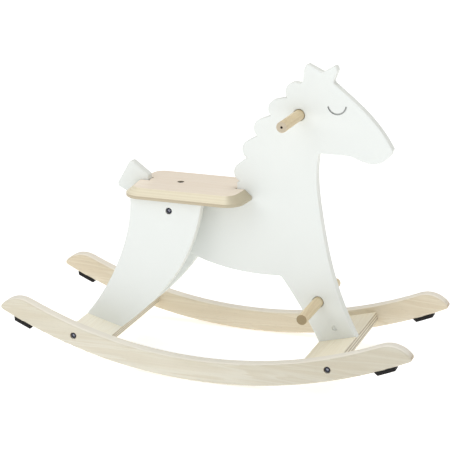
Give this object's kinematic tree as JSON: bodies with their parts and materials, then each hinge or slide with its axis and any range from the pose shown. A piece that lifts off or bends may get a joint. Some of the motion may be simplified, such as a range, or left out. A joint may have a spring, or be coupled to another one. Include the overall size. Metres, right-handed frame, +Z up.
{
  "type": "rocking horse",
  "caption": "Child's rocking horse of flat boards: horse-shaped body panel, seat, hind legs, hand bar and foot bar, joined by crossboards to curved rockers.",
  "frame": {"origin": "on the floor line, under the middle of the horse: the centre of the bounding box's bottom face", "axes": "+X is the way the horse faces, +Y its left side, +Z up"},
  "size_m": [0.8, 0.304, 0.5746],
  "materials": {
    "white_paint": "white satin paint on board, rounded edges",
    "rocker_wood": "clear-varnished solid birch, long grain",
    "board_wood": "clear-varnished birch plywood, plies at the edges",
    "seat_wood": "clear-varnished birch plywood, bevelled upper edge",
    "bar_wood": "clear-varnished turned beech rod",
    "bearer_wood": "plain birch plywood",
    "dowel_wood": "plain beech dowel",
    "bolt_steel": "dark zinc-plated, bright in the sockets",
    "nut_steel": "zinc-plated",
    "screw_steel": "zinc-plated",
    "pad_rubber": "matt black moulded rubber"
  },
  "bodies": {
    "root": {"body_panel": "white_paint", "foot_barrel_nuts": "nut_steel", "foot_bolts": "bolt_steel", "foot_dowels": "dowel_wood", "footrest_bar": "bar_wood", "front_crossboard": "board_wood", "front_left_pad": "pad_rubber", "front_right_pad": "pad_rubber", "handle_bar": "bar_wood", "hind_leg_barrel_nuts": "nut_steel", "hind_leg_bolts": "bolt_steel", "hind_leg_left": "white_paint", "hind_leg_right": "white_paint", "pad_screws": "screw_steel", "rear_crossboard": "board_wood", "rear_left_pad": "pad_rubber", "rear_right_pad": "pad_rubber", "rocker_barrel_nuts": "nut_steel", "rocker_bolts": "bolt_steel", "rocker_dowels": "dowel_wood", "rocker_left": "rocker_wood", "rocker_right": "rocker_wood", "seat": "seat_wood", "seat_barrel_nut": "nut_steel", "seat_bearer": "bearer_wood", "seat_bolt": "bolt_steel", "seat_dowels": "dowel_wood"}
  },
  "joints": []
}
